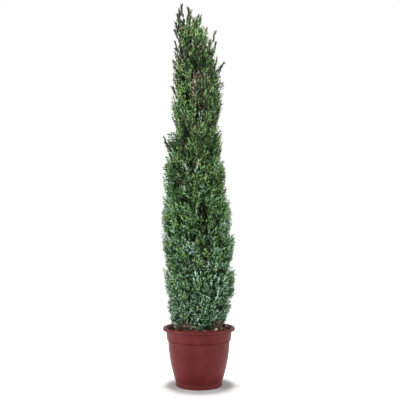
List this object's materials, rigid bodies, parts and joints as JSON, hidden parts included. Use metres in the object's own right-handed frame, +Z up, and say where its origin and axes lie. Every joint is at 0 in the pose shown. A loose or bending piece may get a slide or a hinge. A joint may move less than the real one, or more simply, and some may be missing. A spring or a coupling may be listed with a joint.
{
  "type": "potted italian cypress tree",
  "caption": "Slender evergreen column with upswept scale-leaf foliage on a thin leaning trunk, in a round plastic pot with a rolled rim.",
  "frame": {"origin": "centre of the pot's flat underside", "axes": "+Z up the plant; the top of the tree leans towards -X; -Y is the side the plant is usually seen from"},
  "size_m": [0.332, 0.3312, 1.694],
  "materials": {
    "pot_plastic": "satin",
    "soil": "matte",
    "bark": "matte",
    "foliage": "matte"
  },
  "bodies": {
    "root": {"pot": "pot_plastic", "soil": "soil", "trunk": "bark", "bough_1_1": "bark", "bough_1_2": "bark", "bough_1_3": "bark", "bough_1_4": "bark", "bough_2_1": "bark", "bough_2_2": "bark", "bough_2_3": "bark", "bough_2_4": "bark", "bough_3_1": "bark", "bough_3_2": "bark", "bough_3_3": "bark", "bough_3_4": "bark", "bough_4_1": "bark", "bough_4_2": "bark", "bough_4_3": "bark", "bough_4_4": "bark", "bough_5_1": "bark", "bough_5_2": "bark", "bough_5_3": "bark", "foliage_1_1": "foliage", "foliage_1_2": "foliage", "foliage_1_3": "foliage", "foliage_1_4": "foliage", "foliage_2_1": "foliage", "foliage_2_2": "foliage", "foliage_2_3": "foliage", "foliage_2_4": "foliage", "foliage_3_1": "foliage", "foliage_3_2": "foliage", "foliage_3_3": "foliage", "foliage_3_4": "foliage", "foliage_4_1": "foliage", "foliage_4_2": "foliage", "foliage_4_3": "foliage", "foliage_4_4": "foliage", "foliage_5_1": "foliage", "foliage_5_2": "foliage", "foliage_5_3": "foliage", "foliage_6_1": "foliage", "foliage_6_2": "foliage", "foliage_6_3": "foliage", "foliage_7_1": "foliage", "foliage_7_2": "foliage", "foliage_7_3": "foliage", "foliage_8_1": "foliage", "foliage_8_2": "foliage", "foliage_8_3": "foliage", "leader": "foliage"}
  },
  "joints": []
}
